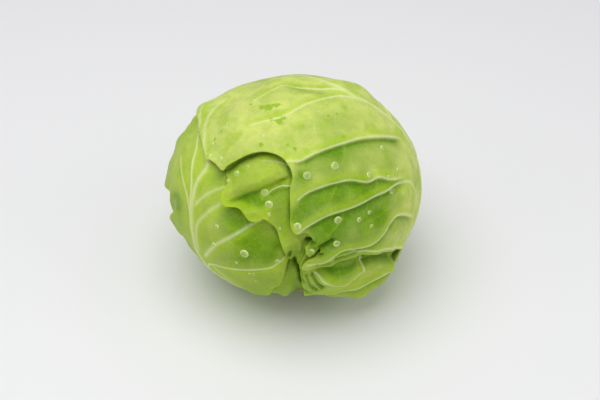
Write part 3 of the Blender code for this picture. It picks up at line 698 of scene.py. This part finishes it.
# The leaf under the margin: shows between the lifted margin of the top leaf and the left leaf, with a
# dark hollow between two folds. It runs on under the top leaf to the stalk.
under_margin = Leaf(
    "leaf_under_margin_blade", pitch=0.0008, middle=(4, -24), wave=0.0004,
    outline=[
        (-32, 8, 0.0010), (-30, 4, 0.0020), (-31, 0, 0.0028), (-31.5, -4, 0.0034), (-30, -6.5, 0.0036),
        (-25, -7.5, 0.0034), (-22, -10, 0.0030), (-20, -13, 0.0028), (-16, -13.5, 0.0026),
        (-13, -12, 0.0018), (-9, -16, 0.0016), (-7, -22, 0.0014), (-5, -28, 0.0012), (-4, -34, 0.0008),
        (4, -42, 0), (12, -60, 0), (20, -76, 0), (40, -76, 0), (44, -55, 0), (42, -30, 0), (38, 0, 0),
        (28, 20, 0), (10, 28, 0), (-10, 28, 0), (-22, 24, 0), (-29, 16, 0)],
    ribs=[
        ([(30, -74), (28, -50), (22, -25), (14, 0), (4, 16)], 0.0014, 0.0030),
        ([(2, 8), (-2, 10.5), (-8, 12.5), (-14, 12.5)], 0.0010, 0.0020, 0.45),
        ([(0, 1.5), (-4, 2), (-7, 1.5), (-10, 0), (-12, -2)], 0.0012, 0.0012)],
    folds=[([(-3, 9), (-10, 6), (-15, 3.5), (-20, 2), (-27, 0)], 0.0016, 0.0034),
           ([(-9, -8), (-14, -8.5), (-20, -9)], 0.0016, 0.0030),
           ([(-4, -14), (-5, -26)], 0.0012, 0.0050)],
    # The strong darker spots at (-20, -5) and (-14, -4.5) are painted shade in the hollow between the folds.
    tone_and_painted_light=[(-20, -5, 3.6, 1.2), (-14, -4.5, 4.2, 0.9), (-14, 8, 9, -0.1), (-18, -11, 4.5, -0.9),
          (-30, 0, 4, -0.5), (-5, -2, 5, 0.5)],
    press=[([(-31, 2), (-31, -4), (-25, -8), (-20, -12), (-13, -13), (-9, -16), (-6, -26), (-4, -33)],
            0.0014, 0.0040)])
finish_leaf(under_margin, [over_top, low_right], green_skin)


# The left leaf: wraps the left side, its midrib near the outline and its ribs fanned to both sides,
# with a wavy, curled margin at the far left.
left = Leaf(
    "leaf_left_blade", pitch=0.0009, middle=(-52, -18), wave=0.0004,
    outline=[
        (-66, 38, 0), (-52, 31, 0), (-40, 24, 0), (-28, 12, 0), (-18, 2, 0), (-9, -8, 0), (-2, -18, 0),
        (1, -26, 0), (0, -32, 0.0012), (-4, -37, 0.0014), (-7, -44, 0.0016), (-11, -50, 0.0016),
        (-18, -56, 0.0012), (-31, -65, 0.0002), (-50, -71, 0), (-70, -77, 0), (-92, -76, 0), (-88, -60, 0),
        (-82, -48, 0.0004), (-75, -36, 0.0006), (-67, -26, 0.0006), (-74, -22, 0.0014),
        (-80, -19.5, 0.0022), (-83, -16.5, 0.0026), (-80, -13, 0.0024), (-72, -10.5, 0.0014),
        (-67, -8.5, 0.0006), (-66, -5.5, 0.0004), (-70, -2.5, 0.0012), (-77, -1, 0.0022), (-82, 1, 0.0026),
        (-84, 5, 0.0024), (-82, 14, 0.0014), (-79, 22, 0.0016), (-77, 28, 0.0008)],
    ribs=[
        ([(-82, -74), (-76, -56), (-68, -38), (-57, -22), (-53, -14), (-50, -6), (-47, 1), (-44, 7),
          (-43, 14), (-50, 26)], 0.0022, 0.0074, 0.8),
        ([(-62, -32), (-54, -21), (-49, -15), (-41, -10), (-36, -7), (-32, -5),
          (-26, -2)], 0.0009, 0.0050, 0.55),
        ([(-62, -35), (-56, -32), (-41, -25), (-29, -20), (-21, -16), (-13, -12),
          (-9, -9)], 0.0014, 0.0048, 0.68),
        ([(-74, -42), (-60, -38), (-47, -39.5), (-33, -40), (-18, -38.5), (-9, -36),
          (-3, -32)], 0.0014, 0.0028),
        ([(-58, -22), (-53, -10), (-54, -2), (-58, 5), (-64, 14)], 0.0013, 0.0030),
        ([(-53, -12), (-50, 0), (-51, 9), (-54, 18), (-60, 26)], 0.0012, 0.0032),
        ([(-50, -8), (-44, -4), (-36, 0), (-28, 3)], 0.0005, 0.0040, 0.5),
        ([(-60, -36), (-61, -44), (-66, -52), (-72, -60)], 0.0008, 0.0036, 0.6)],
    # The dark spot in the pocket at (-64, -6) and the darker band at (-26, -11), below the lip of the leaf
    # under the margin, are painted shade.
    tone_and_painted_light=[(-26, -11, 8, 0.9), (-22, -22, 10, 0.45), (-30, -33, 20, 0.45), (-60, 10, 20, -0.2),
          (-64, -6, 4, 1.6), (-13, -32, 4, 0.5), (-9, -26, 3, 0.5), (-36, 5, 4, 0.5), (-40, -16, 5, -0.4),
          (-35, -26, 4, -0.3), (-37, -48, 6, -0.3)],
    press=[([(0, -32), (-4, -38), (-8, -46), (-16, -54), (-28, -63)], 0.0012, 0.0040)])
finish_leaf(left, [over_top, low_right, under_margin], green_skin)


# The back left leaf: wraps the far side of the head, out of sight from the front, with a broad midrib
# and a rib to either side of it at three heights.
back_left = Leaf(
    "leaf_back_left_blade", pitch=0.0012, middle=(-120, 6),
    outline=[
        (-60, 12, 0), (-62, 30, 0), (-72, 48, 0), (-104, 64, 0), (-160, 70, 0), (158, 60, 0), (150, 38, 0),
        (156, 14, 0), (174, -6, 0.0010), (-166, -18, 0.0014), (-146, -26, 0.0014), (-130, -42, 0.0012),
        (-120, -60, 0.0006), (-112, -76, 0), (-92, -76, 0), (-78, -62, 0), (-68, -40, 0), (-63, -12, 0)],
    ribs=[
        ([(-102, -74), (-106, -50), (-112, -25), (-118, 0), (-126, 30), (-140, 54)], 0.0024, 0.0046),
        ([(-109, -38), (-92, -26), (-78, -18)], 0.0014, 0.0030),
        ([(-113, -20), (-95, -2), (-80, 12)], 0.0014, 0.0030),
        ([(-119, 4), (-100, 24), (-84, 40)], 0.0013, 0.0030),
        ([(-110, -34), (-126, -24), (-142, -16)], 0.0014, 0.0030),
        ([(-116, -8), (-136, 2), (-160, 6)], 0.0014, 0.0030),
        ([(-123, 20), (-146, 30), (-176, 34)], 0.0013, 0.0030)],
    tone_and_painted_light=[(-120, -10, 50, 0.2)])
finish_leaf(back_left, [over_top, low_right, under_margin, left], green_skin)


# The low front leaf: shows under the left leaf at the bottom of the front, with an upright fold where
# it was gathered towards the stalk. Its foot stands off a little and hides the stalk.
low_front = Leaf(
    "leaf_low_front_blade", pitch=0.0008, middle=(-18, -52),
    outline=[
        (-58, -34, 0), (-40, -26, 0), (-20, -20, 0), (-4, -20, 0), (14, -26, 0), (28, -38, 0),
        (36, -58, 0), (36, -79, 0.0010), (16, -82, 0.0040), (0, -81.5, 0.0040), (-14, -79, 0.0004),
        (-36, -78, 0), (-62, -70, 0), (-66, -52, 0)],
    ribs=[([(-30, -78), (-40, -62), (-46, -44)], 0.0004, 0.0012, 0.3)],
    folds=[([(-4, -36), (-2, -44), (-6, -56)], 0.0022, 0.0028), ([(4, -70), (2, -58)], 0.0020, 0.0035)],
    tone_and_painted_light=[(-5, -60, 30, 0.3)])
finish_leaf(low_front, [over_top, low_right, under_margin, left, back_left], green_skin)


# The low back leaf: the one that the head lies on, pressed flat under the weight. It closes the back and
# the underside, beneath all the other leaves.
low_back = Leaf(
    "leaf_low_back_blade", pitch=0.0012, middle=(178, -32),
    outline=[
        (34, -69, 0), (42, -60, 0), (50, -48, 0), (58, -34, 0), (76, -20, 0), (98, -6, 0), (116, 8, 0),
        (146, 20, 0), (178, 22, 0), (-158, 16, 0), (-130, 6, 0), (-108, -10, 0), (-94, -32, 0),
        (-90, -56, 0), (-104, -76, 0), (-140, -76, 0), (180, -76, 0), (140, -76, 0), (100, -76, 0),
        (66, -76, 0)],
    ribs=[
        ([(180, -76), (180, -40), (178, -20), (176, 6)], 0.0020, 0.0046),
        ([(180, -26), (158, -14), (138, 0)], 0.0014, 0.0030),
        ([(180, -22), (-160, -12), (-140, -4)], 0.0014, 0.0030),
        ([(170, -70), (130, -56), (108, -36)], 0.0014, 0.0030),
        ([(-170, -70), (-132, -60), (-110, -44)], 0.0014, 0.0030)],
    tone_and_painted_light=[(180, -40, 60, 0.2)])
leaves = [over_top, low_right, under_margin, left, back_left, low_front, low_back]
finish_leaf(low_back, leaves[:-1], green_skin)


# Water drops: clear beads that sit on the waxy outer leaves, each a flattened dome. Their pale green
# colour is painted light, more opaque towards the rim than in the middle, standing in for the light that
# a bead gathers towards its rim. Each has a turn, a rise and a size in mm.
DROPS = [(-28, 46, 1.4), (-36, 29, 1.4), (-15, 23, 1.8), (-10, 23, 1.4), (-34, 13, 2.1), (-40, 14, 1.8),
         (-41, 20, 1.4), (-26, 7, 2.1), (-21, 10, 1.4), (-30, 4, 1.4), (-13, -1, 2.8), (-11, -6, 2.8),
         (5, 6, 2.8), (17, 10, 2.8), (10, 27, 1.4), (13, 37, 1.1), (34, 39, 1.1), (44, 18, 1.8),
         (33, 6, 2.1), (51, 8, 1.4), (44, 5, 1.4), (48, -1, 2.8), (19, -13, 2.8), (29, -13, 1.8),
         (34, -10, 1.4), (36, -16, 1.4), (1, -15, 2.8), (20, -24, 2.5), (8, -28, 2.1), (-37, -16, 1.8),
         (-43, -25, 1.8), (-26, -29, 3.2), (-10, -35, 1.8), (-34, -35, 1.4), (-30, -43, 1.1),
         (-27, -43, 1.1), (-29, -49, 1.1), (-11, -10, 1.4), (-7, -17, 1.1)]
DROP_RADIUS, DROP_HEIGHT, DROP_TUCK = 0.00095, 0.5, 1.2
DROP_RINGS, DROP_SIDES, RIM_SHARPNESS = 8, 18, 3
DROP_PAINTED_LIGHT, MIDDLE_ALPHA, RIM_ALPHA = (0.80, 0.95, 0.34, 1), 0.28, 0.85


def top_radius(place):
    """Outermost radius at one place, and so where a drop lies."""
    k = next(k for k, leaf in enumerate(leaves) if leaf.inside(place[None], leaf.coarse)[0][0] > 0)
    return leaves[k].shape(place[None], leaves[:k])[0][0]


drop_verts, drop_faces, drop_rim_light = [], [], []
for turn, rise, size in DROPS:
    place = heading(turn, rise)
    east = np.cross([0, 0, 1], place)
    east /= np.linalg.norm(east)
    north = np.cross(place, east)
    radius, base = DROP_RADIUS * size, top_radius(place)
    first = len(drop_verts)
    for ring in range(DROP_RINGS):
        bend = math.pi / 2 * (1 - ring / DROP_RINGS) * DROP_TUCK
        out, up = radius * math.sin(bend), radius * DROP_HEIGHT * math.cos(bend)
        for side in range(DROP_SIDES):
            spin = 2 * math.pi * side / DROP_SIDES
            drop_verts.append(place * (base + up) + (east * math.cos(spin) + north * math.sin(spin)) * out)
            drop_rim_light.append(math.sin(bend) ** RIM_SHARPNESS)
    drop_verts.append(place * (base + radius * DROP_HEIGHT))
    drop_rim_light.append(0)
    for ring in range(DROP_RINGS - 1):
        for side in range(DROP_SIDES):
            start = first + ring * DROP_SIDES
            a, b = start + side, start + (side + 1) % DROP_SIDES
            drop_faces.append((a, b, b + DROP_SIDES, a + DROP_SIDES))
    last = first + (DROP_RINGS - 1) * DROP_SIDES
    drop_faces += [(last + k, last + (k + 1) % DROP_SIDES, len(drop_verts) - 1) for k in range(DROP_SIDES)]
    drop_faces.append(tuple(first + k for k in reversed(range(DROP_SIDES))))
drop_data = bpy.data.meshes.new("water_drops")
drop_data.from_pydata([tuple(v) for v in set_down(np.array(drop_verts))], [], drop_faces)
drop_data.shade_smooth()
rim_layer = drop_data.attributes.new("rim", "FLOAT", "POINT")
rim_layer.data.foreach_set("value", drop_rim_light)
drops = bpy.data.objects.new("water_drops", drop_data)
bpy.context.collection.objects.link(drops)
water = bpy.data.materials.new("water")
water.use_nodes = True
water_nodes, water_links = water.node_tree.nodes, water.node_tree.links
water_shader = water_nodes["Principled BSDF"]
# Painted light: a pale green colour, more opaque towards the rim, stands in for the light the bead gathers.
water_shader.inputs["Base Color"].default_value = DROP_PAINTED_LIGHT
water_shader.inputs["Roughness"].default_value = 0.05
water_shader.inputs["Specular IOR Level"].default_value = 1.0
rim = water_nodes.new("ShaderNodeAttribute")
rim.attribute_name = "rim"
clearness = water_nodes.new("ShaderNodeMapRange")
clearness.inputs["To Min"].default_value = MIDDLE_ALPHA
clearness.inputs["To Max"].default_value = RIM_ALPHA
water_links.new(rim.outputs["Fac"], clearness.inputs["Value"])
water_links.new(clearness.outputs["Result"], water_shader.inputs["Alpha"])
drop_data.materials.append(water)
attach(drops, "root")

# The studio: a pale matt floor that the head lies on, a broad soft lamp overhead, a weak one on either
# side, and an even pale surround. Nothing here belongs to the part.
FLOOR_SIDE, FLOOR_DEPTH, LAMP_AIM = 4, 6, Vector((0, 0, 0.05))
FLOOR, SURROUND, SURROUND_STRENGTH = (0.84, 0.84, 0.85, 1), (0.985, 0.985, 1.0, 1), 0.46
LAMPS = [("overhead_lamp", (-0.18, -0.25, 1.4), 1.3, 12.5),
         ("left_lamp", (-1.2, -0.5, 0.85), 1.0, 1.4),
         ("right_lamp", (1.2, -0.5, 0.85), 1.0, 2.4)]
floor_data = bpy.data.meshes.new("studio_floor")
floor_corners = [(-FLOOR_SIDE, -FLOOR_SIDE, 0), (FLOOR_SIDE, -FLOOR_SIDE, 0),
                 (FLOOR_SIDE, FLOOR_DEPTH, 0), (-FLOOR_SIDE, FLOOR_DEPTH, 0)]
floor_data.from_pydata(floor_corners, [], [(0, 1, 2, 3)])
floor = bpy.data.objects.new("studio_floor", floor_data)
bpy.context.collection.objects.link(floor)
floor_skin = bpy.data.materials.new("studio_floor")
floor_skin.use_nodes = True
floor_shader = floor_skin.node_tree.nodes["Principled BSDF"]
floor_shader.inputs["Base Color"].default_value = FLOOR
floor_shader.inputs["Roughness"].default_value = 0.8
floor_shader.inputs["Specular IOR Level"].default_value = 0.1
floor_data.materials.append(floor_skin)

for name, place, size, energy in LAMPS:
    lamp_data = bpy.data.lights.new(name, "AREA")
    lamp_data.shape = "DISK"
    lamp_data.size = size
    lamp_data.energy = energy
    lamp = bpy.data.objects.new(name, lamp_data)
    lamp.location = place
    lamp.rotation_mode = "QUATERNION"
    lamp.rotation_quaternion = (Vector(place) - LAMP_AIM).to_track_quat("Z", "Y")
    bpy.context.collection.objects.link(lamp)
world = bpy.data.worlds.new("studio")
bpy.context.scene.world = world
world.use_nodes = True
world.node_tree.nodes["Background"].inputs["Color"].default_value = SURROUND
world.node_tree.nodes["Background"].inputs["Strength"].default_value = SURROUND_STRENGTH
bpy.context.scene.view_settings.view_transform = "Standard"

# The camera: 40 degrees above the table, square on to the side with the overlapping margins. The aim is
# the pixel of the picture where the middle of the head shows.
ELEVATION, LENS, SENSOR, DISTANCE = math.radians(40), 70.0, 36.0, 0.835
AIM_X, AIM_Y, PICTURE_WIDTH, PICTURE_HEIGHT = 295.0, 185.5, 600, 400
camera_data = bpy.data.cameras.new("camera")
camera_data.lens = LENS
camera_data.sensor_width = SENSOR
camera = bpy.data.objects.new("camera", camera_data)
bpy.context.collection.objects.link(camera)
back = Vector((0, -math.cos(ELEVATION), math.sin(ELEVATION)))
focal = PICTURE_WIDTH * LENS / SENSOR
right = Vector((1, 0, 0))
forward = -back - right * ((AIM_X - PICTURE_WIDTH / 2) / focal)
forward -= right.cross(-back) * ((PICTURE_HEIGHT / 2 - AIM_Y) / focal)
camera.location = Vector(HEAD_MIDDLE) + back * DISTANCE
camera.rotation_mode = "QUATERNION"
camera.rotation_quaternion = forward.to_track_quat("-Z", "Y")
bpy.context.scene.camera = camera
